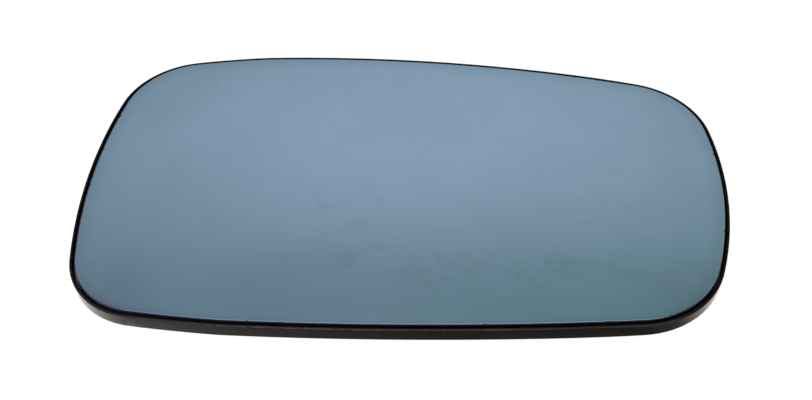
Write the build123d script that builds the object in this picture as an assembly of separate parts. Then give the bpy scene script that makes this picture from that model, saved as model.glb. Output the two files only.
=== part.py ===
from build123d import *
import math
import os

# Door mirror glass: a convex glass, bonded by its heating foil to a moulded carrier that snaps onto the
# round head of a mirror actuator. All sizes are in millimetres and degrees.
# The origin is on the clip ring's axis, in the plane of the ring's guard walls, on which the part rests.
# +Z points out of the glass, +X along its length and +Y to its top edge.

# Glass: overall size, with the clip ring's axis in the middle, seen from the front
GLASS_LENGTH = 182.0
GLASS_HEIGHT = 105.4

# Outline: where each corner lies before rounding, inwards from the nearest side and end
BOTTOM_SHOULDER_INSET = (42.9, 2.1)
BOTTOM_RIGHT_INSET = (13.9, 3.9)
TOP_RIGHT_INSET = (4.7, 14.85)
TOP_SHOULDER_INSET = (46.45, 0.0)
TOP_LEFT_INSET = (9.8, 3.7)
BOTTOM_LEFT_INSET = (3.7, 8.9)

# Outline: radius of each rounded corner
SHOULDER_RADIUS = 60.0
BOTTOM_RIGHT_RADIUS = 26.7
TOP_RIGHT_RADIUS = 23.1
TOP_LEFT_RADIUS = 23.0
BOTTOM_LEFT_RADIUS = 21.5

# Outline: how far the arc of each side stands out from the line between its corners
BOTTOM_BOW = 2.9
RIGHT_BOW = 8.7
TOP_BOW = 3.4
TOP_SHOULDER_BOW = 0.6
LEFT_BOW = 6.4
BOTTOM_SHOULDER_BOW = 0.6

# Glass: a spherical pane with a ground edge
DOME_RADIUS = 1400.0
GLASS_THICKNESS = 2.0
GLASS_ARRIS = 0.3

# Heating foil between glass and carrier
PAD_THICKNESS = 0.5
PAD_INSET = 2.0

# Carrier: a shallow tray round the glass
WEB_THICKNESS = 2.45
POCKET_GAP = 0.5
RIM_WALL = 0.95
RIM_DROP = 0.45
RIM_CHAMFER = 0.3
SKIRT_BEVEL_WIDTH = 0.3
SKIRT_BEVEL_HEIGHT = 0.6

# Carrier: clip ring for the actuator's head, with sprung hooks between fixed guard walls
RING_RADIUS = 28.0
RING_DEPTH = 9.0
GUARD_WALL = 2.0
GUARD_LEAD_IN = 0.6
HOOK_COUNT = 6
HOOK_ARC = 24.0
HOOK_SLOT_ARC = 4.0
FINGER_WALL = 1.5
FINGER_SETBACK = 0.8
HOOK_REACH = 0.9
HOOK_LAND = 1.2
HOOK_LEAD_IN = 1.4
HOOK_NOSE = 0.5

# Carrier: stiffening ribs on the back
RIB_WALL = 1.5
RIB_HEIGHT = 2.8
COLLAR_GAP = 5.5
BORDER_INSET = 10.0

# Heater terminals: where the pair stands, as a share of the way from the collar to the end of the glass
TERMINAL_SHARE = 0.324
TERMINAL_RISE = 12.0
TERMINAL_PITCH = 11.0

# Heater terminals: flat blades bent out of their feet, with a film of solder between the feet and the foil
SOLDER_FILM = 0.08
BLADE_WIDTH = 6.3
BLADE_WALL = 0.8
BLADE_LENGTH = 8.0
BLADE_TIP = 1.0
FOOT_LENGTH = 7.0
BEND_RADIUS = 0.5
DETENT_DIAMETER = 1.65
DETENT_FROM_TIP = 2.8

# Window of the carrier, round both terminals
WINDOW_GAP = 1.6
WINDOW_ROUND = 1.5

# Stack of concentric layers, from the carrier's back to the glass front
FRONT_HEIGHT = RING_DEPTH + WEB_THICKNESS + PAD_THICKNESS + GLASS_THICKNESS
DOME_CENTRE = FRONT_HEIGHT - DOME_RADIUS
GLASS_BACK = DOME_RADIUS - GLASS_THICKNESS
PAD_BACK = GLASS_BACK - PAD_THICKNESS
WEB_BACK = PAD_BACK - WEB_THICKNESS
WEB_MIDDLE = PAD_BACK - WEB_THICKNESS / 2
RIM_TOP = DOME_RADIUS - RIM_DROP
RIB_FOOT = WEB_BACK - RIB_HEIGHT

# Height of the plain walls from which the layers are cut, well past the top of the dome
CUT_HEIGHT = 2 * FRONT_HEIGHT

# Radii about the clip ring's axis, and the angles of its guard walls, hooks and long ribs
HOOK_TIP_RADIUS = RING_RADIUS - HOOK_REACH
GUARD_OUTER_RADIUS = RING_RADIUS + GUARD_WALL
COLLAR_RADIUS = GUARD_OUTER_RADIUS + COLLAR_GAP
HOOK_PITCH = 360.0 / HOOK_COUNT
GUARD_ARC = HOOK_PITCH - HOOK_ARC - 2 * HOOK_SLOT_ARC
GUARD_ANGLES = [HOOK_PITCH * (number + 0.5) for number in range(HOOK_COUNT)]
HOOK_ANGLES = [HOOK_PITCH * number for number in range(HOOK_COUNT)]
LONG_WAY_ANGLES = [0.0, 180.0]


def corner_at(end, side, inset):
    """A corner of the outline: end is -1 on the left and 1 on the right, side -1 below and 1 above."""
    return (end * (GLASS_LENGTH / 2 - inset[0]), side * (GLASS_HEIGHT / 2 - inset[1]))


# Each corner of the outline, with its radius and the bow of the side that leads to the next one
OUTLINE = [
    (corner_at(-1, -1, BOTTOM_SHOULDER_INSET), SHOULDER_RADIUS, BOTTOM_BOW),
    (corner_at(1, -1, BOTTOM_RIGHT_INSET), BOTTOM_RIGHT_RADIUS, RIGHT_BOW),
    (corner_at(1, 1, TOP_RIGHT_INSET), TOP_RIGHT_RADIUS, TOP_BOW),
    (corner_at(-1, 1, TOP_SHOULDER_INSET), SHOULDER_RADIUS, TOP_SHOULDER_BOW),
    (corner_at(-1, 1, TOP_LEFT_INSET), TOP_LEFT_RADIUS, LEFT_BOW),
    (corner_at(-1, -1, BOTTOM_LEFT_INSET), BOTTOM_LEFT_RADIUS, BOTTOM_SHOULDER_BOW),
]
FURTHEST_CORNER = max(math.hypot(*corner) for corner, radius, bow in OUTLINE)


def outline(grow):
    """The glass outline as a flat face: bowed sides and rounded corners, grown outwards by a distance.

    Every stretch is an arc that bulges outwards, so growth adds to the arc's radius about the same centre.
    """
    corners = [corner for corner, radius, bow in OUTLINE]
    sides = []
    for start, end, (corner, radius, bow) in zip(corners, corners[1:] + corners[:1], OUTLINE):
        sides.append(SagittaArc(start, end, -bow))
    face = make_face(sides)
    for corner, radius, bow in OUTLINE:
        face = fillet(face.vertices().sort_by_distance(corner)[0], radius)
    arcs = []
    for edge in face.edges():
        centre = edge.arc_center
        growth = (edge.radius + grow) / edge.radius
        arcs.append(ThreePointArc(*[centre + (edge @ share - centre) * growth for share in (0, 0.5, 1)]))
    return make_face(arcs)


def prism(grow):
    """The grown outline drawn straight up, past the top of the dome."""
    return extrude(outline(grow), CUT_HEIGHT)


def ball(radius):
    """A ball on the dome's centre, turned so that its poles and its seam lie far from the part."""
    return Plane(origin=(0, 0, DOME_CENTRE), x_dir=(0, 0, -1), z_dir=(1, 0, 0)) * Sphere(radius)


def ring_sector(profile, arc, angle):
    """A closed (radius, height) profile turned about the ring's axis through an arc centred on an angle."""
    points = [(radius, 0, height) for radius, height in profile]
    face = make_face(Polyline(*points, close=True))
    return Rot(0, 0, angle - arc / 2) * revolve(face, Axis.Z, arc)


def mirror_glass():
    """The convex pane, with its front edge ground off all round."""
    pane = (prism(0) & ball(DOME_RADIUS)) - ball(GLASS_BACK)
    front = pane.faces().filter_by(GeomType.SPHERE).sort_by(Axis.Z)[-1]
    return chamfer(front.edges(), GLASS_ARRIS)


def heater_pad():
    """The heating foil, inset from the edge of the glass."""
    return (prism(-PAD_INSET) & ball(GLASS_BACK)) - ball(PAD_BACK)


def tray():
    """The web behind the foil and the rim round the glass, with its lip and its lower edge eased."""
    body = (prism(POCKET_GAP + RIM_WALL) & ball(RIM_TOP)) - ball(WEB_BACK)
    back = body.faces().filter_by(GeomType.SPHERE).sort_by(Axis.Z)[0]
    body = chamfer(back.edges(), SKIRT_BEVEL_WIDTH, SKIRT_BEVEL_HEIGHT, reference=back)
    body -= prism(POCKET_GAP) - ball(PAD_BACK)
    lip = body.faces().filter_by(GeomType.SPHERE).sort_by(Axis.Z)[-1]
    return chamfer(lip.edges(), RIM_CHAMFER)


def guard_wall(angle):
    """One fixed wall of the clip ring, with a lead-in at its mouth."""
    profile = [
        (RING_RADIUS, CUT_HEIGHT),
        (RING_RADIUS, GUARD_LEAD_IN),
        (RING_RADIUS + GUARD_LEAD_IN, 0),
        (GUARD_OUTER_RADIUS, 0),
        (GUARD_OUTER_RADIUS, CUT_HEIGHT),
    ]
    return ring_sector(profile, GUARD_ARC, angle)


def clip_finger(angle):
    """One sprung finger: a thin wall with a hook at its end, which holds the actuator's head by its land."""
    land_start = FINGER_SETBACK + HOOK_LEAD_IN
    land_end = land_start + HOOK_LAND
    profile = [
        (RING_RADIUS, CUT_HEIGHT),
        (RING_RADIUS, land_end),
        (HOOK_TIP_RADIUS, land_end),
        (HOOK_TIP_RADIUS, land_start),
        (RING_RADIUS + FINGER_WALL - HOOK_NOSE, FINGER_SETBACK),
        (RING_RADIUS + FINGER_WALL, FINGER_SETBACK),
        (RING_RADIUS + FINGER_WALL, CUT_HEIGHT),
    ]
    return ring_sector(profile, HOOK_ARC, angle)


def hook_window(angle):
    """The opening above one hook, through which the mould forms the hook's back."""
    profile = [
        (HOOK_TIP_RADIUS, 0),
        (RING_RADIUS, 0),
        (RING_RADIUS, CUT_HEIGHT),
        (HOOK_TIP_RADIUS, CUT_HEIGHT),
    ]
    return ring_sector(profile, HOOK_ARC, angle)


def spoke(angle, start):
    """One radial rib, from a radius outwards, past the edge of the part."""
    wall = Box(FURTHEST_CORNER, RIB_WALL, CUT_HEIGHT, align=(Align.MIN, Align.CENTER, Align.MIN))
    return Rot(0, 0, angle) * Pos(start, 0, 0) * wall


def ribs():
    """The border rib, the collar round the clip ring, and the spokes that join guards, collar and border."""
    border = prism(-BORDER_INSET) - prism(-BORDER_INSET - RIB_WALL)
    collar = extrude(Circle(COLLAR_RADIUS + RIB_WALL) - Circle(COLLAR_RADIUS), CUT_HEIGHT)
    spokes = [spoke(angle, GUARD_OUTER_RADIUS - GUARD_WALL / 2) for angle in GUARD_ANGLES]
    spokes += [spoke(angle, COLLAR_RADIUS + RIB_WALL / 2) for angle in LONG_WAY_ANGLES]
    inside = prism(-BORDER_INSET - RIB_WALL / 2)
    lattice = border + collar
    for rib in spokes:
        lattice += rib & inside
    return lattice - ball(RIB_FOOT)


def terminal_place(step):
    """A terminal's seat under the foil: square to the dome, some pitches along X from the pair's middle."""
    collar_end = COLLAR_RADIUS + RIB_WALL
    middle = collar_end + TERMINAL_SHARE * (GLASS_LENGTH / 2 - collar_end)
    along = step * TERMINAL_PITCH - middle
    turn_y = math.degrees(math.asin(along / PAD_BACK))
    turn_x = -math.degrees(math.asin(TERMINAL_RISE / PAD_BACK))
    return Pos(0, 0, DOME_CENTRE) * Rot(turn_x, turn_y, 0) * Pos(0, 0, PAD_BACK)


def terminal_window():
    """The rounded opening in the web round both terminals."""
    length = TERMINAL_PITCH + BLADE_WIDTH + 2 * WINDOW_GAP
    width = FOOT_LENGTH + 2 * WINDOW_GAP
    opening = extrude(RectangleRounded(length, width, WINDOW_ROUND), CUT_HEIGHT, both=True)
    return terminal_place(0) * opening


def backing_plate():
    """The carrier, moulded in one piece: tray, clip ring and ribs, with its windows."""
    back = ribs()
    for angle in GUARD_ANGLES:
        back += guard_wall(angle)
    for angle in HOOK_ANGLES:
        back += clip_finger(angle)
    plate = tray() + (back & ball(WEB_MIDDLE))
    for angle in HOOK_ANGLES:
        plate -= hook_window(angle) - ball(WEB_BACK)
    return plate - (terminal_window() - ball(WEB_BACK))


def heater_terminal(step):
    """One blade terminal: a foot under the foil, bent square into a blade with a detent hole."""
    half = FOOT_LENGTH / 2
    bent = [
        (0, -half, 0),
        (0, half, 0),
        (0, half, -BLADE_LENGTH),
        (0, half - BLADE_WALL, -BLADE_LENGTH),
        (0, half - BLADE_WALL, -BLADE_WALL),
        (0, -half, -BLADE_WALL),
    ]
    strip = extrude(make_face(Polyline(*bent, close=True)), BLADE_WIDTH / 2, both=True)
    along = strip.edges().filter_by(Axis.X)
    strip = fillet(along.sort_by_distance((0, half, 0))[0], BEND_RADIUS + BLADE_WALL)
    along = strip.edges().filter_by(Axis.X)
    strip = fillet(along.sort_by_distance((0, half - BLADE_WALL, -BLADE_WALL))[0], BEND_RADIUS)
    corners = strip.edges().filter_by(Axis.Y).group_by(Axis.Z)[0]
    strip = chamfer(corners, BLADE_TIP)
    detent = Rot(90, 0, 0) * Cylinder(DETENT_DIAMETER / 2, FOOT_LENGTH * 2)
    strip -= Pos(0, 0, DETENT_FROM_TIP - BLADE_LENGTH) * detent
    return terminal_place(step) * Pos(0, 0, -SOLDER_FILM) * strip


PARTS = {
    "mirror_glass": mirror_glass(),
    "heater_pad": heater_pad(),
    "backing_plate": backing_plate(),
    "heater_terminal_inner": heater_terminal(0.5),
    "heater_terminal_outer": heater_terminal(-0.5),
}

os.makedirs("parts", exist_ok=True)
for node, solid in PARTS.items():
    export_step(solid, f"parts/{node}.step")
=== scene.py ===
import math

import bpy
import numpy as np
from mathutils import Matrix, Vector


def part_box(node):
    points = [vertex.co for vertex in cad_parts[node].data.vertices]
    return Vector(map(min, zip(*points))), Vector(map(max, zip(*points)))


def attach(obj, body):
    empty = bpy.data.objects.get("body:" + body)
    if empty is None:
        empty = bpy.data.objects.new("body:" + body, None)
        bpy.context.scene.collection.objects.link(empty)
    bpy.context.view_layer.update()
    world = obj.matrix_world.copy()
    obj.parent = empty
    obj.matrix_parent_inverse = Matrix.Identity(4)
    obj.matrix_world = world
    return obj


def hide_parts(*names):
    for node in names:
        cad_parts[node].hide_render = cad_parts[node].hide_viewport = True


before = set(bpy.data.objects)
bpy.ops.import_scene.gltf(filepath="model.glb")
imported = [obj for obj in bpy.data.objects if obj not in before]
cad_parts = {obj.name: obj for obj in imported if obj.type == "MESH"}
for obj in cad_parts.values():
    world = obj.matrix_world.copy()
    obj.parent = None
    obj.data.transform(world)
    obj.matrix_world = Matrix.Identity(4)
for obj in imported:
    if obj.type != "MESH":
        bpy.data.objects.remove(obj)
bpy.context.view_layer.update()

bl_info = {
    "name": "Door Mirror Glass",
    "version": (1, 0, 0),
    "blender": (4, 5, 0),
    "location": "3D View > Sidebar > Mirror Glass",
    "description": "Dresses the packed door mirror glass: tinted pane, moulded carrier, heater and stage",
    "category": "Add Mesh",
}

# A millimetre, in metres
MM = 0.001

# Outline of the glass in millimetres, anticlockwise from the bottom shoulder: its corners before rounding
CORNERS = [(-48.1, -50.6), (77.1, -48.8), (86.3, 37.85), (-44.55, 52.7), (-81.2, 49.0), (-87.3, -43.8)]

# Radius of each corner, and bow of the side that leads from it to the next corner
CORNER_RADII = [60.0, 26.7, 23.1, 60.0, 23.0, 21.5]
SIDE_BOWS = [2.9, 8.7, 3.4, 0.6, 6.4, 0.6]

# Dome of the glass in metres: its apex is the top of the glass, and the layers behind it share its centre
DOME_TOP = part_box("mirror_glass")[1][2]
DOME_RADIUS = 1400.0 * MM
DOME_CENTRE = DOME_TOP - DOME_RADIUS

# How far the rim's top and the carrier's back lie behind the front of the glass
RIM_DROP = 0.45 * MM
LAYERS = 4.95 * MM
RIM_TOP_RADIUS = DOME_RADIUS - RIM_DROP
CARRIER_BACK_RADIUS = DOME_RADIUS - LAYERS

# Soft panel that the glass mirrors: its height as an angle, then its offset and half sizes by direction
PANEL_HEIGHT = math.radians(41.8)
PANEL_OFFSET = 0.026
PANEL_HALF_WIDTH = 0.655
PANEL_HALF_HEIGHT = 0.294

# Where the glow and the dark surround start and end, measured from the panel's axis, with 1 at its edge
GLOW_SPAN = (0.11, 1.0)
SURROUND_SPAN = (1.2, 1.55)

# Where the turn from left to right tone, the horizon and the upper corners start and end, by direction
TURN_SPAN = (-0.4, 0.4)
HORIZON_SPAN = (0.0, 0.5)
CORNER_OUT_SPAN = (0.24, 0.36)
CORNER_UP_SPAN = (0.715, 0.78)

# What the room keeps of its tone at the horizon, in the surround and in the upper corners
HORIZON_TONE = 0.3
SURROUND_TONE = 0.35
CORNER_TONE = 0.8

# Where the white cards overhead, beside and in front start and are full, by direction
OVERHEAD_SPAN = (0.816, 0.93)
BESIDE_SPAN = (0.5, 0.62)
BESIDE_UP_SPAN = (0.3, 0.5)
FRONT_SPAN = (-0.3, -0.6)
FRONT_UP_SPAN = (0.02, 0.2)

# How bright the cards beside and in front are, where the one overhead is 1
BESIDE_TONE = 0.8
FRONT_TONE = 0.9

# Size of the patches of film on the glass
FILM_PATCH = 24.0 * MM

# Darker streak across the near half of the glass: its line, how far it strays, half its width and its wisps
STREAK_LINE = -33.0 * MM
STREAK_STRAY = 6.0 * MM
STREAK_HALF_WIDTH = 10.0 * MM
STREAK_WISP = 6.0 * MM

# Where along the glass the streak is strongest, from where to where it fades, and what is left at its ends
STREAK_MIDDLE = 17.0 * MM
STREAK_FADE_SPAN = (35.0 * MM, 70.0 * MM)
STREAK_END_SHARE = 0.25

# Small smudges: their size, where their cluster away from the streak lies, and how far it reaches
SMUDGE_SIZE = 5.5 * MM
SMUDGE_PLACE = (-16.0 * MM, -13.0 * MM, DOME_TOP)
SMUDGE_REACH = 14.0 * MM

# How much smudges show in the middle of the cluster, and away from it
SMUDGE_SHARES = (0.85, 0.12)

# Places round the pane's outline, rings of its faces, and steps of its rolled edge
OUTLINE_PLACES = 2400
FACE_RINGS = 14
ROLL_STEPS = 4

# Plain strip of the front that keeps the shading of the rolled edge to itself
FLAT_MARGIN = 0.1 * MM

# Wander of the ground edge: its seed, how often its sines turn round the edge, and its share of the arris
EDGE_SEED = 11
WANDER_TURNS = np.array([37, 83, 171, 290])
WANDER_SHARE = 0.06

# Chips in the ground edge: their number, widths in millimetres, and sizes, whose cube sets their reach
CHIP_COUNT = 60
CHIP_WIDTHS = (0.25, 0.6)
CHIP_SIZES = (0.1, 1.0)

# Strip inside the edge over which painted shade darkens the coating's colour, and the share of its colour it
# keeps at the edge
EDGE_SHADE_WIDTH = 5.5 * MM
EDGE_SHADE_TONE = 0.88

# How much more narrowly the painted edge shade fades in along the near side, and how closely that keeps to
# the side
NEAR_NARROWING = 1.5
NEAR_FOCUS = 4

# Where the finish of the carrier's rim and that of its back start and are full, from the dome's centre
RIM_SPAN = (RIM_TOP_RADIUS - 0.7 * MM, RIM_TOP_RADIUS - 0.4 * MM)
BACK_SPAN = (CARRIER_BACK_RADIUS + 0.6 * MM, CARRIER_BACK_RADIUS + 0.5 * MM)

# Where the near side of the carrier starts and is full
NEAR_SPAN = (-30.0 * MM, -42.0 * MM)

# How far from the middle the painted highlight on the near edge and the dust on the rim reach, and are full
HIGHLIGHT_SPAN = (60.0 * MM, 25.0 * MM)
DUST_SPAN = (80.0 * MM, 60.0 * MM)

# Where, towards the corners, the painted highlight on the edge starts again and is full
HIGHLIGHT_CORNER_SPAN = (76.0 * MM, 84.0 * MM)

# Sizes of the dashes in the painted highlight, flow marks, grit marks, specks on the foil, lines on the
# blades and fibre in card
HIGHLIGHT_DASH = 2.4 * MM
FLOW_MARK = 28.0 * MM
GRIT_MARK = 0.4 * MM
FOIL_SPECK = 0.6 * MM
BLADE_LINE = 0.3 * MM
CARD_FIBRE = 2.0 * MM

# Depth of fine bumps
BUMP_DEPTH = 0.02 * MM

# Scale of the wisps and of the blades' lines along each axis, which draws them out where it is under 1
WISP_STRETCH = (0.55, 1.0, 1.0)
BLADE_LINE_STRETCH = (1.0, 0.15, 0.15)

# How much paler grit and flow marks are than what is round them, and how much duller the blades' lines
GRIT_PALER = 1.8
FLOW_PALER = 1.7
BLADE_LINE_DULLER = 0.72

# Setting of a map range that eases in and out
SMOOTH = {"interpolation_type": "SMOOTHSTEP"}

# Length over which a wave texture repeats at a scale of 1
WAVE_PERIOD = 2 * math.pi / 20

# How close points of a CAD node are welded
WELD_DISTANCE = 0.001 * MM

# Angles from which an edge of a CAD node is rounded or kept crisp, and the steps of a rounding
ROUNDED_ANGLE = math.radians(24)
CRISP_ANGLE = math.radians(30)
ROUNDING_STEPS = 3

# Floor in metres: half its size, the lines of its grid, and how far it lies under the object
FLOOR_HALF_SIZE = 3.0
FLOOR_LINES = 9
FLOOR_DROP = 0.02 * MM

# Where, towards the object's ends, the floor's painted light in mirrors starts to grow and is full
FLOOR_ENDS_SPAN = (76.0 * MM, 92.0 * MM)

# Strength of the floor's own light, in the camera and in mirrors
FLOOR_STRENGTHS = (1.1, 1.8)

# Share of that light in what the camera sees, and in what mirrors show: painted faint in front and bright
# past the ends
FLOOR_SEEN = 0.9
FLOOR_MIRRORED = (0.048, 0.9)

# Lamps: name, setting that holds the power, size, place and aim, in metres
LAMPS = [
    ("rear_lamp", "rear_power", (1.6, 0.4), (0, 0.7, 0.45), (0, 0, 0)),
    ("left_lamp", "left_power", (0.1, 0.1), (-0.17, -0.04, 0.05), (0, -0.05, 0)),
    ("right_lamp", "right_power", (0.12, 0.12), (0.35, 0.3, 0.2), (0.05, 0, 0)),
]

# Where the camera looks, in the plane of the dome's top
LOOK_X = 0.1 * MM
LOOK_Y = -10.1 * MM

# Width of the camera's sensor in millimetres, and how near it sees in metres
SENSOR_WIDTH = 36.0
NEAR_LIMIT = 0.01


def linear(code):
    """The linear colour of an sRGB hex value: each channel through the sRGB curve."""
    channels = [int(code[place:place + 2], 16) / 255 for place in (0, 2, 4)]
    return [c / 12.92 if c <= 0.04045 else ((c + 0.055) / 1.055) ** 2.4 for c in channels]


def length_setting(name, description, millimetres):
    """A length that a user would change, given here in millimetres."""
    return bpy.props.FloatProperty(
        name=name, description=description, default=millimetres * MM, min=0.0, precision=5, unit="LENGTH")


def colour_setting(name, description, code):
    """A colour that a user would change, given here as sRGB hex."""
    return bpy.props.FloatVectorProperty(
        name=name, description=description, default=linear(code), min=0.0, max=1.0, subtype="COLOR")


def power_setting(name, description, watts):
    """The power of a lamp."""
    return bpy.props.FloatProperty(name=name, description=description, default=watts, min=0.0, unit="POWER")


class MirrorPaneSettings(bpy.types.PropertyGroup):
    """Sizes and colours of the pane."""
    thickness: length_setting("Thickness", "Thickness of the glass", 2.0)
    roll: length_setting("Roll-off", "Width over which the polished front turns down to the arris", 0.22)
    roll_angle: bpy.props.FloatProperty(
        name="Roll-off angle", description="How far the front has turned down where the arris starts",
        default=math.radians(20), min=math.radians(5), subtype="ANGLE")
    arris: length_setting("Arris", "Width of the bevel that is ground off the front edge", 0.15)
    arris_left: length_setting("Arris, left", "Extra width of the bevel along the left side", 0.32)
    chip_reach: length_setting("Chip reach", "How far the largest chips reach in from the arris", 0.3)
    tint: colour_setting("Tint", "Blue chrome coating where it reflects white", "869eb5")
    film: colour_setting("Film", "Coating under the thin cloudy film left by handling", "829bb1")
    streak: colour_setting("Streak", "Coating under the dried streak across the near half", "7f98ac")
    smudge: colour_setting("Smudges", "Coating under the small smudges in and above the streak", "7b94a7")
    ground: colour_setting("Ground edge", "Ground arris and side of the glass", "181626")


class MirrorCarrierSettings(bpy.types.PropertyGroup):
    """Sizes and colours of the moulded carrier."""
    edge_round: length_setting("Edge rounding", "How far the mould rounds every edge", 0.17)
    grain: length_setting("Grain", "Size of the eroded mould grain", 0.45)
    plastic: colour_setting("Plastic", "Black ABS", "080606")
    # Painted highlight: pale colour on the near edge's forward-facing rounding, broken into dashes like wear
    rubbed_highlight: colour_setting("Rubbed highlight", "Plastic where the rim's near edge is rubbed pale", "7d736c")


class MirrorHeaterSettings(bpy.types.PropertyGroup):
    """Sizes and colours of the heating foil and its terminals."""
    track_pitch: length_setting("Track pitch", "Spacing of the printed heating tracks", 3.2)
    foil: colour_setting("Foil", "Polyester film", "3a3a3d")
    track: colour_setting("Track", "Printed carbon track", "1b1b1d")
    tin: colour_setting("Tin", "Tin plating on the blades", "c9c5bb")


class MirrorStageSettings(bpy.types.PropertyGroup):
    """Camera, light and floor."""
    elevation: bpy.props.FloatProperty(
        name="Elevation", description="Angle at which the camera looks down",
        default=math.radians(47.03), subtype="ANGLE")
    distance: length_setting("Distance", "From the camera to the plane of the dome's top", 321.56)
    lens: bpy.props.FloatProperty(
        name="Lens", description="Focal length in millimetres on a 36 mm sensor", default=50.985, min=1.0)
    room_left: colour_setting(
        "Room, left", "Tone of the studio that the glass mirrors on the left", "bdc6c4")
    room_right: colour_setting(
        "Room, right", "Tone of the studio that the glass mirrors on the right", "aec2b7")
    glow: colour_setting("Glow", "Soft white panel that the glass mirrors in its middle", "ffffff")
    cards: colour_setting(
        "Cards", "White cards overhead, at the sides and in front, which edges mirror", "ffffff")
    bounce: colour_setting("Bounce", "Tone of the floor as the object's wall mirrors it", "fff3e9")
    ambient: bpy.props.FloatProperty(
        name="Ambient", description="Level of the light from all round", default=0.05, min=0.0, max=1.0,
        subtype="FACTOR")
    rear_power: power_setting("Rear lamp", "Power of the wide soft lamp behind the object", 5.0)
    left_power: power_setting("Left lamp", "Power of the small low lamp on the left", 0.3)
    right_power: power_setting("Right lamp", "Power of the small lamp behind on the right", 0.6)
    lamp_tone: colour_setting("Lamp tone", "Colour of the lamps", "fff0ee")


class MirrorSettings(bpy.types.PropertyGroup):
    """All settings, by piece."""
    pane: bpy.props.PointerProperty(type=MirrorPaneSettings)
    carrier: bpy.props.PointerProperty(type=MirrorCarrierSettings)
    heater: bpy.props.PointerProperty(type=MirrorHeaterSettings)
    stage: bpy.props.PointerProperty(type=MirrorStageSettings)


def outline_arcs():
    """The outline as arcs that follow one another anticlockwise: centres, radii and start angles, in metres.

    A side is the arc through two corners that stands out by its bow s from their chord of length L, so its
    radius is (L * L / 4 + s * s) / 2s. A corner's arc touches both sides from inside, so its centre lies on
    both side circles shrunk by its radius. Angles are those of the outward normal, which only ever grows.
    """
    corner = np.array(CORNERS) * MM
    radius = np.array(CORNER_RADII) * MM
    bow = np.array(SIDE_BOWS) * MM
    chord = np.roll(corner, -1, axis=0) - corner
    length = np.hypot(chord[:, 0], chord[:, 1])
    outward = np.stack([chord[:, 1], -chord[:, 0]], axis=1) / length[:, None]
    side_radius = (length ** 2 / 4 + bow ** 2) / (2 * bow)
    side_centre = corner + chord / 2 + outward * (bow - side_radius)[:, None]
    before_centre = np.roll(side_centre, 1, axis=0)
    reach_before = np.roll(side_radius, 1) - radius
    reach_after = side_radius - radius
    between = side_centre - before_centre
    gap = np.hypot(between[:, 0], between[:, 1])
    along = (gap ** 2 + reach_before ** 2 - reach_after ** 2) / (2 * gap)
    across = np.sqrt(reach_before ** 2 - along ** 2)
    way = between / gap[:, None]
    square = np.stack([-way[:, 1], way[:, 0]], axis=1)
    foot = before_centre + way * along[:, None]
    choices = np.stack([foot + square * across[:, None], foot - square * across[:, None]])
    distance = np.linalg.norm(choices - corner, axis=2)
    corner_centre = np.where((distance[0] < distance[1])[:, None], choices[0], choices[1])
    into = corner_centre - before_centre
    out_of = corner_centre - side_centre
    starts = np.stack([np.arctan2(into[:, 1], into[:, 0]), np.arctan2(out_of[:, 1], out_of[:, 0])], axis=1)
    centres = np.stack([corner_centre, side_centre], axis=1).reshape(-1, 2)
    radii = np.stack([radius, side_radius], axis=1).reshape(-1)
    return centres, radii, np.unwrap(starts.reshape(-1))


def outline_points(count):
    """Points at even steps round the outline, their outward normals, and how far round each one is."""
    centres, radii, starts = outline_arcs()
    sweeps = np.diff(starts, append=starts[0] + 2 * math.pi)
    ends = np.cumsum(radii * sweeps)
    way = np.linspace(0, ends[-1], count, endpoint=False)
    arc = np.searchsorted(ends, way, side="right")
    angle = starts[arc] + (way - (ends - radii * sweeps)[arc]) / radii[arc]
    normal = np.stack([np.cos(angle), np.sin(angle)], axis=1)
    return centres[arc] + normal * radii[arc][:, None], normal, way


def dome_height(flat, radius):
    """Height of a dome layer over points of the plan: the ball of that radius about the dome's centre."""
    return DOME_CENTRE + np.sqrt(radius ** 2 - (flat ** 2).sum(axis=-1))


def surface_mesh(name, rings, poles, sharp_rings, ring_material):
    """A closed mesh from rings of points (ring, place, xyz) and a pole at each end, as quads and two fans.

    Rings run from the front's middle outwards, over the edge and back in behind, so faces point outwards.
    """
    ring_count, place_count = rings.shape[:2]
    points = np.concatenate([rings.reshape(-1, 3), poles])
    number = np.arange(ring_count * place_count).reshape(ring_count, place_count)
    beside = np.roll(number, -1, axis=1)
    quads = np.stack([number[:-1], number[1:], beside[1:], beside[:-1]], axis=-1).reshape(-1, 4)
    first = np.stack([np.full(place_count, len(points) - 2), number[0], beside[0]], axis=1)
    last = np.stack([np.full(place_count, len(points) - 1), beside[-1], number[-1]], axis=1)
    mesh = bpy.data.meshes.new(name)
    mesh.from_pydata(points.tolist(), [], quads.tolist() + first.tolist() + last.tolist())
    mesh.polygons.foreach_set("use_smooth", np.ones(len(mesh.polygons), bool))
    bands = np.repeat(np.array(ring_material), place_count)
    ends = np.repeat([ring_material[0], ring_material[-1]], place_count)
    mesh.polygons.foreach_set("material_index", np.concatenate([bands, ends]).astype(np.int32))
    edges = np.zeros(len(mesh.edges) * 2, np.int32)
    mesh.edges.foreach_get("vertices", edges)
    edge_rings = edges.reshape(-1, 2) // place_count
    sharp = (edge_rings[:, 0] == edge_rings[:, 1]) & np.isin(edge_rings[:, 0], sharp_rings)
    mesh.edges.foreach_set("use_edge_sharp", sharp)
    mesh.update()
    return mesh


def new_piece(name, mesh, materials):
    """An object at the origin for a finished mesh, in the scene's collection."""
    piece = bpy.data.objects.new(name, mesh)
    for material in materials:
        mesh.materials.append(material)
    bpy.context.scene.collection.objects.link(piece)
    return piece


def add(tree, kind, inputs=None, **settings):
    """Adds one node with its settings. An input is a constant, or the output that it is linked from."""
    made = tree.nodes.new(kind)
    for name, value in settings.items():
        setattr(made, name, value)
    for name, value in (inputs or {}).items():
        if isinstance(value, bpy.types.NodeSocket):
            tree.links.new(value, made.inputs[name])
        else:
            made.inputs[name].default_value = value
    return made


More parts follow.
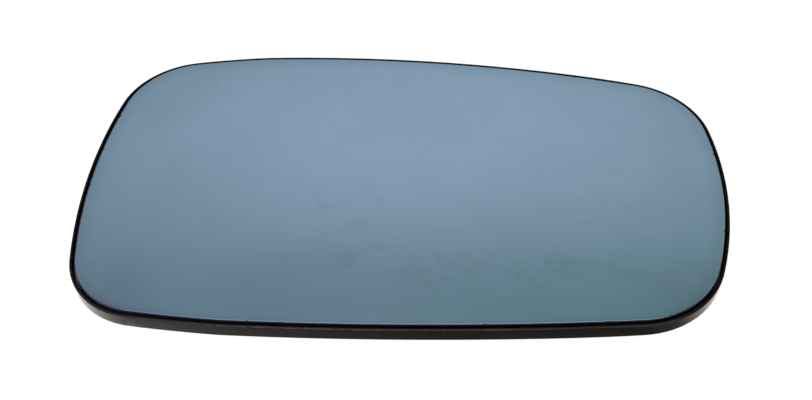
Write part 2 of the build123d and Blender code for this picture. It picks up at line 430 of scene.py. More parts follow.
def new_material(name):
    """An empty node material, with its tree and the place on its piece in Object coordinates."""
    material = bpy.data.materials.new(name)
    material.use_nodes = True
    tree = material.node_tree
    tree.nodes.clear()
    return material, tree, add(tree, "ShaderNodeTexCoord").outputs["Object"]


def rgba(colour):
    """A colour with full alpha, as a colour socket takes it."""
    return (*colour, 1.0)


def streak_shares(tree, place, patches):
    """How strong the darker streak can be at a place, by its line and length, and how much its wisps leave.

    It strays to either side of its line with the patches of film.
    """
    spot = add(tree, "ShaderNodeSeparateXYZ", {"Vector": place})
    stray = add(tree, "ShaderNodeMapRange", {
        "Value": patches, "From Min": 0.3, "From Max": 0.7,
        "To Min": -STREAK_LINE - STREAK_STRAY, "To Max": -STREAK_LINE + STREAK_STRAY})
    bent = add(tree, "ShaderNodeMath", {0: spot.outputs["Y"], 1: stray.outputs["Result"]})
    apart = add(tree, "ShaderNodeMath", {0: bent.outputs["Value"]}, operation="ABSOLUTE")
    band = add(tree, "ShaderNodeMapRange", {
        "Value": apart.outputs["Value"], "From Max": STREAK_HALF_WIDTH, "To Min": 1.0, "To Max": 0.0},
        **SMOOTH)
    past_middle = add(tree, "ShaderNodeMath", {
        0: spot.outputs["X"], 1: STREAK_MIDDLE}, operation="SUBTRACT")
    off_middle = add(tree, "ShaderNodeMath", {0: past_middle.outputs["Value"]}, operation="ABSOLUTE")
    along = add(tree, "ShaderNodeMapRange", {
        "Value": off_middle.outputs["Value"], "From Min": STREAK_FADE_SPAN[0],
        "From Max": STREAK_FADE_SPAN[1], "To Min": 1.0, "To Max": STREAK_END_SHARE})
    drawn = add(tree, "ShaderNodeMapping", {"Vector": place, "Scale": WISP_STRETCH})
    wisps = add(tree, "ShaderNodeTexNoise", {
        "Vector": drawn.outputs["Vector"], "Scale": 1 / STREAK_WISP, "Detail": 6.0, "Roughness": 0.68})
    broken = add(tree, "ShaderNodeMapRange", {
        "Value": wisps.outputs["Fac"], "From Min": 0.36, "From Max": 0.64}, **SMOOTH)
    held = add(tree, "ShaderNodeMath", {
        0: band.outputs["Result"], 1: along.outputs["Result"]}, operation="MULTIPLY")
    darkened = add(tree, "ShaderNodeMath", {
        0: held.outputs["Value"], 1: broken.outputs["Result"]}, operation="MULTIPLY")
    return held.outputs["Value"], darkened.outputs["Value"]


def smudge_share(tree, place, held):
    """How much of a small smudge shows at a place."""
    flecks = add(tree, "ShaderNodeTexNoise", {
        "Vector": place, "Scale": 1 / SMUDGE_SIZE, "Detail": 4.0, "Roughness": 0.58})
    spotted = add(tree, "ShaderNodeMapRange", {
        "Value": flecks.outputs["Fac"], "From Min": 0.47, "From Max": 0.7}, **SMOOTH)
    away = add(tree, "ShaderNodeVectorMath", {0: place, 1: SMUDGE_PLACE}, operation="DISTANCE")
    cluster = add(tree, "ShaderNodeMapRange", {
        "Value": away.outputs["Value"], "From Max": SMUDGE_REACH,
        "To Min": SMUDGE_SHARES[0], "To Max": SMUDGE_SHARES[1]}, **SMOOTH)
    soiled = add(tree, "ShaderNodeMath", {0: held, 1: cluster.outputs["Result"]}, operation="MAXIMUM")
    smudged = add(tree, "ShaderNodeMath", {
        0: spotted.outputs["Result"], 1: soiled.outputs["Value"]}, operation="MULTIPLY")
    return smudged.outputs["Value"]


def coated_mirror(settings):
    """Blue chrome mirror: metal sputtered on drawn glass, so it mirrors sharply in its own blue.

    Painted shade darkens the coating's colour towards the edge, by the pane's own attribute. Handling
    leaves a thin film in soft patches, a little duller and darker. A faint darker streak runs along the
    near half, strongest past the middle, and breaks up into wisps. Small darker smudges lie in the streak,
    in one cluster above it, and thinly elsewhere.
    """
    material, tree, place = new_material("Blue chrome mirror glass")
    patches = add(tree, "ShaderNodeTexNoise", {
        "Vector": place, "Scale": 1 / FILM_PATCH, "Detail": 5.0, "Roughness": 0.62, "Distortion": 0.5})
    film = add(tree, "ShaderNodeMapRange", {
        "Value": patches.outputs["Fac"], "From Min": 0.32, "From Max": 0.72}, **SMOOTH)
    held, darkened = streak_shares(tree, place, patches.outputs["Fac"])
    marks = [
        (film.outputs["Result"], settings.film), (darkened, settings.streak),
        (smudge_share(tree, place, held), settings.smudge)]
    colour = rgba(settings.tint)
    for share, mark in marks:
        inputs = {"Factor": share, "A": colour, "B": rgba(mark)}
        colour = add(tree, "ShaderNodeMix", inputs, data_type="RGBA").outputs["Result"]
    # Painted shade: the coating's colour is darkened over a strip inside the edge
    inside = add(tree, "ShaderNodeAttribute", attribute_name="edge_distance")
    painted_edge_shade = add(tree, "ShaderNodeMapRange", {
        "Value": inside.outputs["Fac"], "From Max": EDGE_SHADE_WIDTH, "To Min": EDGE_SHADE_TONE}, **SMOOTH)
    coating = add(tree, "ShaderNodeVectorMath", {
        0: colour, "Scale": painted_edge_shade.outputs["Result"]}, operation="SCALE")
    rough = add(tree, "ShaderNodeMapRange", {
        "Value": film.outputs["Result"], "To Min": 0.015, "To Max": 0.07})
    shader = add(tree, "ShaderNodeBsdfPrincipled", {
        "Base Color": coating.outputs["Vector"], "Metallic": 1.0, "Roughness": rough.outputs["Result"]})
    add(tree, "ShaderNodeOutputMaterial", {"Surface": shader.outputs["BSDF"]})
    return material


def ground_edge(settings):
    """Ground glass edge: ground by a diamond belt, so it is dull, dark and full of fine grit marks."""
    material, tree, place = new_material("Ground glass edge")
    grit = add(tree, "ShaderNodeTexNoise", {
        "Vector": place, "Scale": 1 / GRIT_MARK, "Detail": 3.0, "Roughness": 0.6})
    pale = [min(1.0, channel * GRIT_PALER) for channel in settings.ground]
    colour = add(tree, "ShaderNodeMix", {
        "Factor": grit.outputs["Fac"], "A": rgba(settings.ground), "B": rgba(pale)}, data_type="RGBA")
    rough = add(tree, "ShaderNodeMapRange", {"Value": grit.outputs["Fac"], "To Min": 0.35, "To Max": 0.7})
    bump = add(tree, "ShaderNodeBump", {
        "Height": grit.outputs["Fac"], "Strength": 0.4, "Distance": BUMP_DEPTH})
    shader = add(tree, "ShaderNodeBsdfPrincipled", {
        "Base Color": colour.outputs["Result"], "Roughness": rough.outputs["Result"], "IOR": 1.52,
        "Normal": bump.outputs["Normal"]})
    add(tree, "ShaderNodeOutputMaterial", {"Surface": shader.outputs["BSDF"]})
    return material


def carrier_zones(tree, place):
    """How far the carrier is matt, has a painted highlight and is dusty, by place and facing."""
    normal = add(tree, "ShaderNodeNewGeometry").outputs["Normal"]
    facing = add(tree, "ShaderNodeSeparateXYZ", {"Vector": normal})
    spot = add(tree, "ShaderNodeSeparateXYZ", {"Vector": place})
    height = add(tree, "ShaderNodeVectorMath", {0: place, 1: (0, 0, DOME_CENTRE)}, operation="DISTANCE")
    near_rim = add(tree, "ShaderNodeMapRange", {
        "Value": height.outputs["Value"], "From Min": RIM_SPAN[0], "From Max": RIM_SPAN[1]})
    upward = add(tree, "ShaderNodeMapRange", {
        "Value": facing.outputs["Z"], "From Min": 0.06, "From Max": 0.25}, **SMOOTH)
    rim = add(tree, "ShaderNodeMath", {
        0: near_rim.outputs["Result"], 1: upward.outputs["Result"]}, operation="MULTIPLY")
    tilted = add(tree, "ShaderNodeMapRange", {
        "Value": facing.outputs["Z"], "From Min": 0.95, "From Max": 0.82}, **SMOOTH)
    lifted = add(tree, "ShaderNodeMapRange", {
        "Value": facing.outputs["Z"], "From Min": 0.3, "From Max": 0.44}, **SMOOTH)
    slant = add(tree, "ShaderNodeMath", {0: facing.outputs["X"]}, operation="ABSOLUTE")
    straight = add(tree, "ShaderNodeMapRange", {
        "Value": slant.outputs["Value"], "From Min": 0.4, "From Max": 0.25}, **SMOOTH)
    forward = add(tree, "ShaderNodeMapRange", {
        "Value": facing.outputs["Y"], "From Min": -0.1, "From Max": -0.25}, **SMOOTH)
    in_front = add(tree, "ShaderNodeMapRange", {
        "Value": spot.outputs["Y"], "From Min": NEAR_SPAN[0], "From Max": NEAR_SPAN[1]})
    # The near edge's forward-facing rounding: it stays satin, and the pale highlight is painted on it
    polished = near_rim.outputs["Result"]
    for mask in (tilted, lifted, straight, forward, in_front):
        inputs = {0: polished, 1: mask.outputs["Result"]}
        polished = add(tree, "ShaderNodeMath", inputs, operation="MULTIPLY").outputs["Value"]
    dashes = add(tree, "ShaderNodeTexNoise", {
        "Vector": place, "Scale": 1 / HIGHLIGHT_DASH, "Detail": 5.0, "Roughness": 0.7})
    dash_breaks = add(tree, "ShaderNodeMapRange", {
        "Value": dashes.outputs["Fac"], "From Min": 0.4, "From Max": 0.66}, **SMOOTH)
    aside = add(tree, "ShaderNodeMath", {0: spot.outputs["X"]}, operation="ABSOLUTE")
    midway = add(tree, "ShaderNodeMapRange", {
        "Value": aside.outputs["Value"], "From Min": HIGHLIGHT_SPAN[0], "From Max": HIGHLIGHT_SPAN[1]})
    corners = add(tree, "ShaderNodeMapRange", {
        "Value": aside.outputs["Value"], "From Min": HIGHLIGHT_CORNER_SPAN[0],
        "From Max": HIGHLIGHT_CORNER_SPAN[1]})
    highlight_reach = add(tree, "ShaderNodeMath", {
        0: midway.outputs["Result"], 1: corners.outputs["Result"]}, operation="MAXIMUM")
    highlight_spread = add(tree, "ShaderNodeMath", {0: polished, 1: highlight_reach.outputs["Value"]}, operation="MULTIPLY")
    # Painted highlight: pale colour on that rounding, broken into dashes like wear
    rubbed_highlight = add(tree, "ShaderNodeMath", {
        0: highlight_spread.outputs["Value"], 1: dash_breaks.outputs["Result"]}, operation="MULTIPLY")
    rim_matt = add(tree, "ShaderNodeMath", {0: rim.outputs["Value"], 1: polished}, operation="SUBTRACT")
    behind = add(tree, "ShaderNodeMapRange", {
        "Value": height.outputs["Value"], "From Min": BACK_SPAN[0], "From Max": BACK_SPAN[1]})
    matt = add(tree, "ShaderNodeMath", {
        0: rim_matt.outputs["Value"], 1: behind.outputs["Result"]}, operation="MAXIMUM")
    inward = add(tree, "ShaderNodeMapRange", {
        "Value": aside.outputs["Value"], "From Min": DUST_SPAN[0], "From Max": DUST_SPAN[1]})
    dusty = add(tree, "ShaderNodeMath", {
        0: in_front.outputs["Result"], 1: inward.outputs["Result"]}, operation="MULTIPLY")
    return matt.outputs["Value"], rubbed_highlight.outputs["Value"], dusty.outputs["Value"]


def moulded_abs(settings):
    """Black ABS, injection moulded in a spark-eroded tool: satin, with a fine grain and soft flow marks.

    The rim, the foot of the outer wall and the back are eroded matt, so they stay black, and the rim is
    deepest black away from its near side. On the near side its outer edge is smoother where it faces
    forward, and there carries a painted highlight: pale colour in broken dashes, like wear.
    """
    material, tree, place = new_material("Moulded black ABS")
    grain = add(tree, "ShaderNodeTexNoise", {
        "Vector": place, "Scale": 1 / settings.grain, "Detail": 3.0, "Roughness": 0.55})
    flow = add(tree, "ShaderNodeTexNoise", {
        "Vector": place, "Scale": 1 / FLOW_MARK, "Detail": 3.0, "Distortion": 0.6})
    matt, rubbed_highlight, dusty = carrier_zones(tree, place)
    pale = [channel * FLOW_PALER for channel in settings.plastic]
    body = add(tree, "ShaderNodeMix", {
        "Factor": flow.outputs["Fac"], "A": rgba(settings.plastic), "B": rgba(pale)}, data_type="RGBA")
    # Painted highlight: the near edge's rounding is mixed towards the pale colour
    colour = add(tree, "ShaderNodeMix", {
        "Factor": rubbed_highlight, "A": body.outputs["Result"], "B": rgba(settings.rubbed_highlight)}, data_type="RGBA")
    satin = add(tree, "ShaderNodeMapRange", {
        "Value": flow.outputs["Fac"], "From Min": 0.3, "From Max": 0.7, "To Min": 0.09, "To Max": 0.13})
    rough = add(tree, "ShaderNodeMix", {"Factor": matt, "A": satin.outputs["Result"], "B": 0.42})
    sheen = add(tree, "ShaderNodeMapRange", {"Value": dusty, "To Min": 0.07, "To Max": 0.2})
    mirrors = add(tree, "ShaderNodeMix", {"Factor": matt, "A": 0.5, "B": sheen.outputs["Result"]})
    bump = add(tree, "ShaderNodeBump", {
        "Height": grain.outputs["Fac"], "Strength": 0.2, "Distance": BUMP_DEPTH})
    shader = add(tree, "ShaderNodeBsdfPrincipled", {
        "Base Color": colour.outputs["Result"], "Roughness": rough.outputs["Result"], "IOR": 1.52,
        "Specular IOR Level": mirrors.outputs["Result"], "Normal": bump.outputs["Normal"]})
    add(tree, "ShaderNodeOutputMaterial", {"Surface": shader.outputs["BSDF"]})
    return material


def heating_foil(settings):
    """Polyester heating foil: calendered film, dull and finely speckled, with printed carbon tracks."""
    material, tree, place = new_material("Printed heating foil")
    tracks = add(tree, "ShaderNodeTexWave", {
        "Vector": place, "Scale": WAVE_PERIOD / settings.track_pitch, "Distortion": 0.4, "Detail": 1.0},
        bands_direction="Y")
    printed = add(tree, "ShaderNodeMapRange", {
        "Value": tracks.outputs["Fac"], "From Min": 0.35, "From Max": 0.45})
    speckle = add(tree, "ShaderNodeTexNoise", {"Vector": place, "Scale": 1 / FOIL_SPECK, "Detail": 2.0})
    colour = add(tree, "ShaderNodeMix", {
        "Factor": printed.outputs["Result"], "A": rgba(settings.foil), "B": rgba(settings.track)},
        data_type="RGBA")
    rough = add(tree, "ShaderNodeMapRange", {"Value": speckle.outputs["Fac"], "To Min": 0.4, "To Max": 0.65})
    bump = add(tree, "ShaderNodeBump", {
        "Height": printed.outputs["Result"], "Strength": 0.5, "Distance": BUMP_DEPTH})
    shader = add(tree, "ShaderNodeBsdfPrincipled", {
        "Base Color": colour.outputs["Result"], "Roughness": rough.outputs["Result"], "IOR": 1.6,
        "Normal": bump.outputs["Normal"]})
    add(tree, "ShaderNodeOutputMaterial", {"Surface": shader.outputs["BSDF"]})
    return material


def tinned_brass(settings):
    """Tinned brass: stamped strip with a satin tin plating, drawn out in faint lines along the blade."""
    material, tree, place = new_material("Tinned brass")
    drawn = add(tree, "ShaderNodeMapping", {"Vector": place, "Scale": BLADE_LINE_STRETCH})
    lines = add(tree, "ShaderNodeTexNoise", {
        "Vector": drawn.outputs["Vector"], "Scale": 1 / BLADE_LINE, "Detail": 3.0})
    dull = [channel * BLADE_LINE_DULLER for channel in settings.tin]
    colour = add(tree, "ShaderNodeMix", {
        "Factor": lines.outputs["Fac"], "A": rgba(dull), "B": rgba(settings.tin)}, data_type="RGBA")
    rough = add(tree, "ShaderNodeMapRange", {"Value": lines.outputs["Fac"], "To Min": 0.22, "To Max": 0.42})
    shader = add(tree, "ShaderNodeBsdfPrincipled", {
        "Base Color": colour.outputs["Result"], "Metallic": 1.0, "Roughness": rough.outputs["Result"]})
    add(tree, "ShaderNodeOutputMaterial", {"Surface": shader.outputs["BSDF"]})
    return material


def white_floor(settings):
    """White studio card: matt, and lit from below so that it reads white and keeps a faint shadow.

    In mirrors its light is painted by place: faint in front, as a painted shadow of the object, bright past
    both ends.
    """
    material, tree, place = new_material("White studio card")
    fibre = add(tree, "ShaderNodeTexNoise", {"Vector": place, "Scale": 1 / CARD_FIBRE, "Detail": 2.0})
    tone = add(tree, "ShaderNodeMapRange", {"Value": fibre.outputs["Fac"], "To Min": 0.8, "To Max": 0.84})
    card = add(tree, "ShaderNodeBsdfDiffuse", {"Color": tone.outputs["Result"]})
    path = add(tree, "ShaderNodeLightPath")
    strength = add(tree, "ShaderNodeMapRange", {
        "Value": path.outputs["Is Glossy Ray"], "To Min": FLOOR_STRENGTHS[0], "To Max": FLOOR_STRENGTHS[1]})
    hue = add(tree, "ShaderNodeMix", {
        "Factor": path.outputs["Is Glossy Ray"], "A": (1, 1, 1, 1), "B": rgba(settings.bounce)},
        data_type="RGBA")
    light = add(tree, "ShaderNodeEmission", {
        "Color": hue.outputs["Result"], "Strength": strength.outputs["Result"]})
    seen = add(tree, "ShaderNodeMath", {
        0: path.outputs["Is Camera Ray"], 1: path.outputs["Is Transmission Ray"]}, operation="MAXIMUM")
    # Painted light: in mirrors the floor glows faintly in front and brightly past the object's ends
    spot = add(tree, "ShaderNodeSeparateXYZ", {"Vector": place})
    aside = add(tree, "ShaderNodeMath", {0: spot.outputs["X"]}, operation="ABSOLUTE")
    past_ends = add(tree, "ShaderNodeMapRange", {
        "Value": aside.outputs["Value"], "From Min": FLOOR_ENDS_SPAN[0], "From Max": FLOOR_ENDS_SPAN[1],
        "To Min": FLOOR_MIRRORED[0], "To Max": FLOOR_MIRRORED[1]}, **SMOOTH)
    faint = add(tree, "ShaderNodeMath", {
        0: path.outputs["Is Glossy Ray"], 1: past_ends.outputs["Result"]}, operation="MULTIPLY")
    share = add(tree, "ShaderNodeMath", {
        0: seen.outputs["Value"], 1: FLOOR_SEEN, 2: faint.outputs["Value"]}, operation="MULTIPLY_ADD")
    mixed = add(tree, "ShaderNodeMixShader", {
        0: share.outputs["Value"], 1: card.outputs["BSDF"], 2: light.outputs["Emission"]})
    add(tree, "ShaderNodeOutputMaterial", {"Surface": mixed.outputs["Shader"]})
    return material


def arris_widths(way, normal, settings):
    """Width of the arris at each place round the edge: its own width, a fine wander, and a few small chips.

    The wander is a sum of sines that close round the edge, and a chip is a bell curve along the edge. The
    left side is ground wider, by the square of how far its normal points left.
    """
    chance = np.random.default_rng(EDGE_SEED)
    around = 2 * math.pi * way / way[-1]
    phase = chance.uniform(0, 2 * math.pi, len(WANDER_TURNS))
    wander = np.sin(WANDER_TURNS * around[:, None] + phase).sum(axis=1)
    chip_place = chance.uniform(0, way[-1], CHIP_COUNT)
    chip_width = chance.uniform(*CHIP_WIDTHS, CHIP_COUNT) * MM
    chip_reach = chance.uniform(*CHIP_SIZES, CHIP_COUNT) ** 3 * settings.chip_reach
    chips = (chip_reach * np.exp(-((way[:, None] - chip_place) / chip_width) ** 2)).sum(axis=1)
    leftward = np.clip(-normal[:, 0], 0, 1) ** 2
    return settings.arris * (1 + WANDER_SHARE * wander) + settings.arris_left * leftward + chips


def pane_mesh(settings):
    """The pane as rings from the middle of its front over the edge to the middle of its back.

    The front is the dome. At its edge it turns down along an arc of radius roll / sin(roll angle), so at a
    tilt it has dropped by that radius * (1 - cos(tilt)). The arris leads on at 45 degrees to the side.
    The attribute edge_distance is how far a point lies inside the outline, along the outline's normal. Along
    the near side it grows up to two and a half times as fast, so the painted edge shade is narrower there.
    """
    points, normal, way = outline_points(OUTLINE_PLACES)
    arris = arris_widths(way, normal, settings)
    tilt = np.linspace(0, settings.roll_angle, ROLL_STEPS + 1)
    roll_radius = settings.roll / math.sin(settings.roll_angle)
    roll_inset = arris + (settings.roll - roll_radius * np.sin(tilt))[:, None]
    roll_drop = roll_radius * (1 - np.cos(tilt))
    roll_plan = points - normal * roll_inset[..., None]
    roll_lift = dome_height(roll_plan, DOME_RADIUS) - roll_drop[:, None]
    side_top = dome_height(points, DOME_RADIUS) - roll_drop[-1] - arris
    shares = np.linspace(0, 1, FACE_RINGS + 1)[1:]
    front_plan = shares[:, None, None] * (roll_plan[0] - normal * FLAT_MARGIN)
    back_plan = shares[::-1, None, None] * points
    plan = np.concatenate([front_plan, roll_plan, [points], back_plan])
    lift = np.concatenate([
        dome_height(front_plan, DOME_RADIUS), roll_lift, [side_top],
        dome_height(back_plan, DOME_RADIUS - settings.thickness)])
    rings = np.concatenate([plan, lift[..., None]], axis=-1)
    poles = np.array([(0, 0, DOME_TOP), (0, 0, DOME_TOP - settings.thickness)])
    arris_ring = FACE_RINGS + ROLL_STEPS
    sharp_rings = [arris_ring, arris_ring + 1, arris_ring + 2]
    mesh = surface_mesh("mirror_pane", rings, poles, sharp_rings, np.arange(len(rings) - 1) >= arris_ring)
    narrowing = 1 + NEAR_NARROWING * np.clip(-normal[:, 1], 0, 1) ** NEAR_FOCUS
    inside = ((points - plan) * normal).sum(axis=-1) * narrowing
    distance = mesh.attributes.new("edge_distance", "FLOAT", "POINT")
    distance.data.foreach_set("value", np.append(inside, [inside.max()] * len(poles)))
    return mesh


class MIRRORGLASS_OT_pane(bpy.types.Operator):
    """Lay the tinted pane, with its rolled and ground edge, over its CAD node"""
    bl_idname = "mirrorglass.pane"
    bl_label = "Tinted Pane"

    def execute(self, context):
        settings = context.scene.mirrorglass.pane
        materials = [coated_mirror(settings), ground_edge(settings)]
        pane = new_piece("mirror_pane", pane_mesh(settings), materials)
        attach(pane, "root")
        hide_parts("mirror_glass")
        return {"FINISHED"}


def ease_node(node, angle, radius):
    """Shades a CAD node smoothly between its edges, which are rounded by that radius, or kept crisp at 0."""
    node.data.polygons.foreach_set("use_smooth", np.ones(len(node.data.polygons), bool))
    weld = node.modifiers.new("Joined triangles", "WELD")
    weld.merge_threshold = WELD_DISTANCE
    if radius:
        bevel = node.modifiers.new("Rounded edges", "BEVEL")
        bevel.width = radius
        bevel.segments = ROUNDING_STEPS
        bevel.limit_method = "ANGLE"
        bevel.angle_limit = angle
        bevel.harden_normals = True
    else:
        split = node.modifiers.new("Crisp edges", "EDGE_SPLIT")
        split.split_angle = angle


def finish_node(name, material):
    """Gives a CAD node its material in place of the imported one."""
    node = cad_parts[name]
    node.data.materials.clear()
    node.data.materials.append(material)
    return node


class MIRRORGLASS_OT_carrier(bpy.types.Operator):
    """Finish the moulded carrier"""
    bl_idname = "mirrorglass.carrier"
    bl_label = "Moulded Carrier"

    def execute(self, context):
        settings = context.scene.mirrorglass.carrier
        plate = finish_node("backing_plate", moulded_abs(settings))
        ease_node(plate, ROUNDED_ANGLE, settings.edge_round)
        return {"FINISHED"}


class MIRRORGLASS_OT_heater(bpy.types.Operator):
    """Finish the heating foil and its two blade terminals"""
    bl_idname = "mirrorglass.heater"
    bl_label = "Heater"

    def execute(self, context):
        settings = context.scene.mirrorglass.heater
        ease_node(finish_node("heater_pad", heating_foil(settings)), CRISP_ANGLE, 0)
        metal = tinned_brass(settings)
        for name in ("heater_terminal_inner", "heater_terminal_outer"):
            ease_node(finish_node(name, metal), CRISP_ANGLE, 0)
        return {"FINISHED"}


def panel_distance(tree, parts, depth):
    """How far a direction lies from the axis of the soft panel in front or behind, with 1 at its edge.

    The direction is turned by the panel's height, so that the panel lies on the axis, and divided by the
    panel's half sizes.
    """
    folded = add(tree, "ShaderNodeCombineXYZ", {
        "X": parts.outputs["X"], "Y": depth.outputs["Y"], "Z": parts.outputs["Z"]})
    turned = add(tree, "ShaderNodeVectorRotate", {
        "Vector": folded.outputs["Vector"], "Angle": -PANEL_HEIGHT}, rotation_type="X_AXIS")
    shifted = add(tree, "ShaderNodeVectorMath", {
        0: turned.outputs["Vector"], 1: (PANEL_OFFSET, 0, 0)}, operation="SUBTRACT")
    sized = add(tree, "ShaderNodeVectorMath", {
        0: shifted.outputs["Vector"], 1: (1 / PANEL_HALF_WIDTH, 0, 1 / PANEL_HALF_HEIGHT)},
        operation="MULTIPLY")
    from_axis = add(tree, "ShaderNodeVectorMath", {0: sized.outputs["Vector"]}, operation="LENGTH")
    return from_axis.outputs["Value"]


def room_tone(tree, parts, depth, settings):
    """Tone of the room by direction: one on the left and one on the right, with a glow on the soft panel.

    It is darker at the horizon, in the upper corners and well away from the panel.
    """
    from_axis = panel_distance(tree, parts, depth)
    glow = add(tree, "ShaderNodeMapRange", {
        "Value": from_axis, "From Min": GLOW_SPAN[0], "From Max": GLOW_SPAN[1],
        "To Min": 1.0, "To Max": 0.0}, **SMOOTH)
    side = add(tree, "ShaderNodeMapRange", {
        "Value": parts.outputs["X"], "From Min": TURN_SPAN[0], "From Max": TURN_SPAN[1]}, **SMOOTH)
    room = add(tree, "ShaderNodeMix", {
        "Factor": side.outputs["Result"], "A": rgba(settings.room_left), "B": rgba(settings.room_right)},
        data_type="RGBA")
    horizon = add(tree, "ShaderNodeMapRange", {
        "Value": parts.outputs["Z"], "From Min": HORIZON_SPAN[0], "From Max": HORIZON_SPAN[1],
        "To Min": HORIZON_TONE}, **SMOOTH)
    around = add(tree, "ShaderNodeMapRange", {
        "Value": from_axis, "From Min": SURROUND_SPAN[0], "From Max": SURROUND_SPAN[1],
        "To Min": 1.0, "To Max": SURROUND_TONE}, **SMOOTH)
    outward = add(tree, "ShaderNodeMapRange", {
        "Value": depth.outputs["X"], "From Min": CORNER_OUT_SPAN[0], "From Max": CORNER_OUT_SPAN[1]},
        **SMOOTH)
    high = add(tree, "ShaderNodeMapRange", {
        "Value": parts.outputs["Z"], "From Min": CORNER_UP_SPAN[0], "From Max": CORNER_UP_SPAN[1]}, **SMOOTH)
    corner = add(tree, "ShaderNodeMath", {
        0: outward.outputs["Result"], 1: high.outputs["Result"]}, operation="MULTIPLY")
    corners = add(tree, "ShaderNodeMapRange", {
        "Value": corner.outputs["Value"], "To Min": 1.0, "To Max": CORNER_TONE})
    shade = horizon.outputs["Result"]
    for mask in (around, corners):
        inputs = {0: shade, 1: mask.outputs["Result"]}
        shade = add(tree, "ShaderNodeMath", inputs, operation="MULTIPLY").outputs["Value"]
    dimmed = add(tree, "ShaderNodeVectorMath", {
        0: room.outputs["Result"], "Scale": shade}, operation="SCALE")
    tone = add(tree, "ShaderNodeMix", {
        "Factor": glow.outputs["Result"], "A": dimmed.outputs["Vector"], "B": rgba(settings.glow)},
        data_type="RGBA")
    return tone.outputs["Result"]


def card_share(tree, parts, depth):
    """How much a direction shows of the white cards overhead, beside and in front, which light the edges."""
    zenith = add(tree, "ShaderNodeMapRange", {
        "Value": parts.outputs["Z"], "From Min": OVERHEAD_SPAN[0], "From Max": OVERHEAD_SPAN[1]}, **SMOOTH)
    beside = add(tree, "ShaderNodeMapRange", {
        "Value": depth.outputs["X"], "From Min": BESIDE_SPAN[0], "From Max": BESIDE_SPAN[1],
        "To Max": BESIDE_TONE}, **SMOOTH)
    lifted = add(tree, "ShaderNodeMapRange", {
        "Value": parts.outputs["Z"], "From Min": BESIDE_UP_SPAN[0], "From Max": BESIDE_UP_SPAN[1]}, **SMOOTH)
    side_cards = add(tree, "ShaderNodeMath", {
        0: beside.outputs["Result"], 1: lifted.outputs["Result"]}, operation="MULTIPLY")
    in_front = add(tree, "ShaderNodeMapRange", {
        "Value": parts.outputs["Y"], "From Min": FRONT_SPAN[0], "From Max": FRONT_SPAN[1],
        "To Max": FRONT_TONE}, **SMOOTH)
    upright = add(tree, "ShaderNodeMapRange", {
        "Value": parts.outputs["Z"], "From Min": FRONT_UP_SPAN[0], "From Max": FRONT_UP_SPAN[1]}, **SMOOTH)
    front_card = add(tree, "ShaderNodeMath", {
        0: in_front.outputs["Result"], 1: upright.outputs["Result"]}, operation="MULTIPLY")
    upright_cards = add(tree, "ShaderNodeMath", {
        0: side_cards.outputs["Value"], 1: front_card.outputs["Value"]}, operation="MAXIMUM")
    cards = add(tree, "ShaderNodeMath", {
        0: upright_cards.outputs["Value"], 1: zenith.outputs["Result"]}, operation="MAXIMUM")
    return cards.outputs["Value"]


def studio_world(settings):
    """Soft studio: the camera sees white, glossy surfaces see the room, and the rest is ambient light."""
    world = bpy.data.worlds.new("Soft studio")
    world.use_nodes = True
    tree = world.node_tree
    tree.nodes.clear()
    way = add(tree, "ShaderNodeTexCoord").outputs["Generated"]
    both_ways = add(tree, "ShaderNodeVectorMath", {0: way}, operation="ABSOLUTE")
    parts = add(tree, "ShaderNodeSeparateXYZ", {"Vector": way})
    depth = add(tree, "ShaderNodeSeparateXYZ", {"Vector": both_ways.outputs["Vector"]})
    studio = add(tree, "ShaderNodeMix", {
        "Factor": card_share(tree, parts, depth), "A": room_tone(tree, parts, depth, settings),
        "B": rgba(settings.cards)}, data_type="RGBA")
    path = add(tree, "ShaderNodeLightPath")
    ambient = add(tree, "ShaderNodeBackground", {"Color": rgba([settings.ambient] * 3)})
    mirrored = add(tree, "ShaderNodeBackground", {"Color": studio.outputs["Result"]})
    white = add(tree, "ShaderNodeBackground", {"Color": (1, 1, 1, 1)})
    lit = add(tree, "ShaderNodeMixShader", {
        0: path.outputs["Is Glossy Ray"], 1: ambient.outputs["Background"],
        2: mirrored.outputs["Background"]})
    clear = add(tree, "ShaderNodeMath", {
        0: path.outputs["Is Camera Ray"], 1: path.outputs["Is Transmission Ray"]}, operation="MAXIMUM")
    shown = add(tree, "ShaderNodeMixShader", {
        0: clear.outputs["Value"], 1: lit.outputs["Shader"], 2: white.outputs["Background"]})
    add(tree, "ShaderNodeOutputWorld", {"Surface": shown.outputs["Shader"]})
    return world


def soft_lamp(name, power, size, place, aim, tone):
    """A rectangular soft lamp that points from its place at a target, and that mirrors don't show."""
    lamp = bpy.data.lights.new(name, "AREA")
    lamp.shape = "RECTANGLE"
    lamp.size, lamp.size_y = size
    lamp.energy = power
    lamp.color = tone
    holder = bpy.data.objects.new(name, lamp)
    holder.location = place
    holder.rotation_euler = (Vector(aim) - Vector(place)).to_track_quat("-Z", "Y").to_euler()
    holder.visible_glossy = False
    bpy.context.scene.collection.objects.link(holder)


def floor_mesh():
    """The floor as a flat square grid about the origin, at z = -FLOOR_DROP."""
    lines = np.linspace(-FLOOR_HALF_SIZE, FLOOR_HALF_SIZE, FLOOR_LINES)
    across, along = np.meshgrid(lines, lines)
    points = np.stack([across, along, np.full_like(across, -FLOOR_DROP)], axis=-1)
    number = np.arange(across.size).reshape(across.shape)
    quads = np.stack([number[:-1, :-1], number[:-1, 1:], number[1:, 1:], number[1:, :-1]], axis=-1)
    mesh = bpy.data.meshes.new("studio_floor")
    mesh.from_pydata(points.reshape(-1, 3).tolist(), [], quads.reshape(-1, 4).tolist())
    return mesh


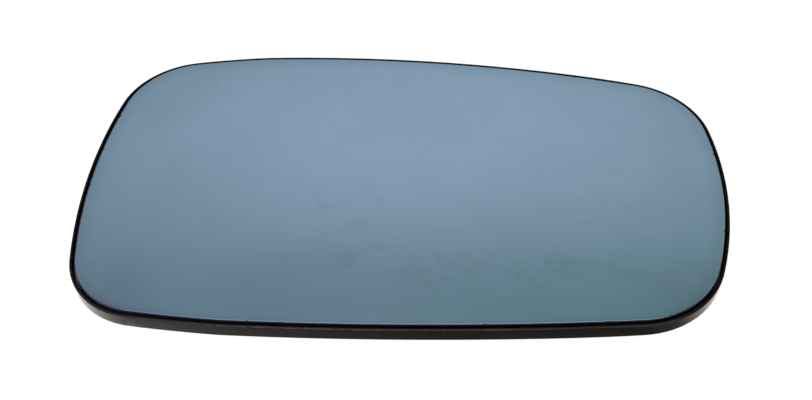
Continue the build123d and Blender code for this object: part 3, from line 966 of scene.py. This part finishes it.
class MIRRORGLASS_OT_stage(bpy.types.Operator):
    """Set the floor, the light and the camera"""
    bl_idname = "mirrorglass.stage"
    bl_label = "Stage"

    def execute(self, context):
        settings = context.scene.mirrorglass.stage
        scene = context.scene
        mesh = floor_mesh()
        new_piece("studio_floor", mesh, [white_floor(settings)])

        scene.world = studio_world(settings)
        for name, power, size, place, aim in LAMPS:
            soft_lamp(name, getattr(settings, power), size, place, aim, settings.lamp_tone)

        camera = bpy.data.cameras.new("photo_camera")
        camera.lens = settings.lens
        camera.sensor_width = SENSOR_WIDTH
        camera.clip_start = NEAR_LIMIT
        camera_place = bpy.data.objects.new("photo_camera", camera)
        look = settings.elevation
        camera_place.location = (
            LOOK_X, LOOK_Y - settings.distance * math.cos(look),
            DOME_TOP + settings.distance * math.sin(look))
        camera_place.rotation_euler = (math.pi / 2 - look, 0, 0)
        scene.collection.objects.link(camera_place)
        scene.camera = camera_place
        scene.view_settings.view_transform = "Standard"
        return {"FINISHED"}


OPERATORS = [MIRRORGLASS_OT_pane, MIRRORGLASS_OT_carrier, MIRRORGLASS_OT_heater, MIRRORGLASS_OT_stage]


class MIRRORGLASS_PT_panel(bpy.types.Panel):
    """Lists the pieces and their settings"""
    bl_label = "Mirror Glass"
    bl_space_type = "VIEW_3D"
    bl_region_type = "UI"
    bl_category = "Mirror Glass"

    def draw(self, context):
        settings = context.scene.mirrorglass
        groups = (settings.pane, settings.carrier, settings.heater, settings.stage)
        for maker, group in zip(OPERATORS, groups):
            box = self.layout.box()
            box.operator(maker.bl_idname)
            for name in group.__annotations__:
                box.prop(group, name)


CLASSES = [
    MirrorPaneSettings, MirrorCarrierSettings, MirrorHeaterSettings, MirrorStageSettings, MirrorSettings,
    *OPERATORS, MIRRORGLASS_PT_panel]


def register():
    """Registers the classes and hangs the settings on the scene."""
    for kind in CLASSES:
        bpy.utils.register_class(kind)
    bpy.types.Scene.mirrorglass = bpy.props.PointerProperty(type=MirrorSettings)


def unregister():
    """Takes the settings and the classes away again."""
    del bpy.types.Scene.mirrorglass
    for kind in reversed(CLASSES):
        bpy.utils.unregister_class(kind)


def main():
    """Builds every piece in order."""
    register()
    bpy.ops.mirrorglass.pane()
    bpy.ops.mirrorglass.carrier()
    bpy.ops.mirrorglass.heater()
    bpy.ops.mirrorglass.stage()


if __name__ == "__main__":
    main()
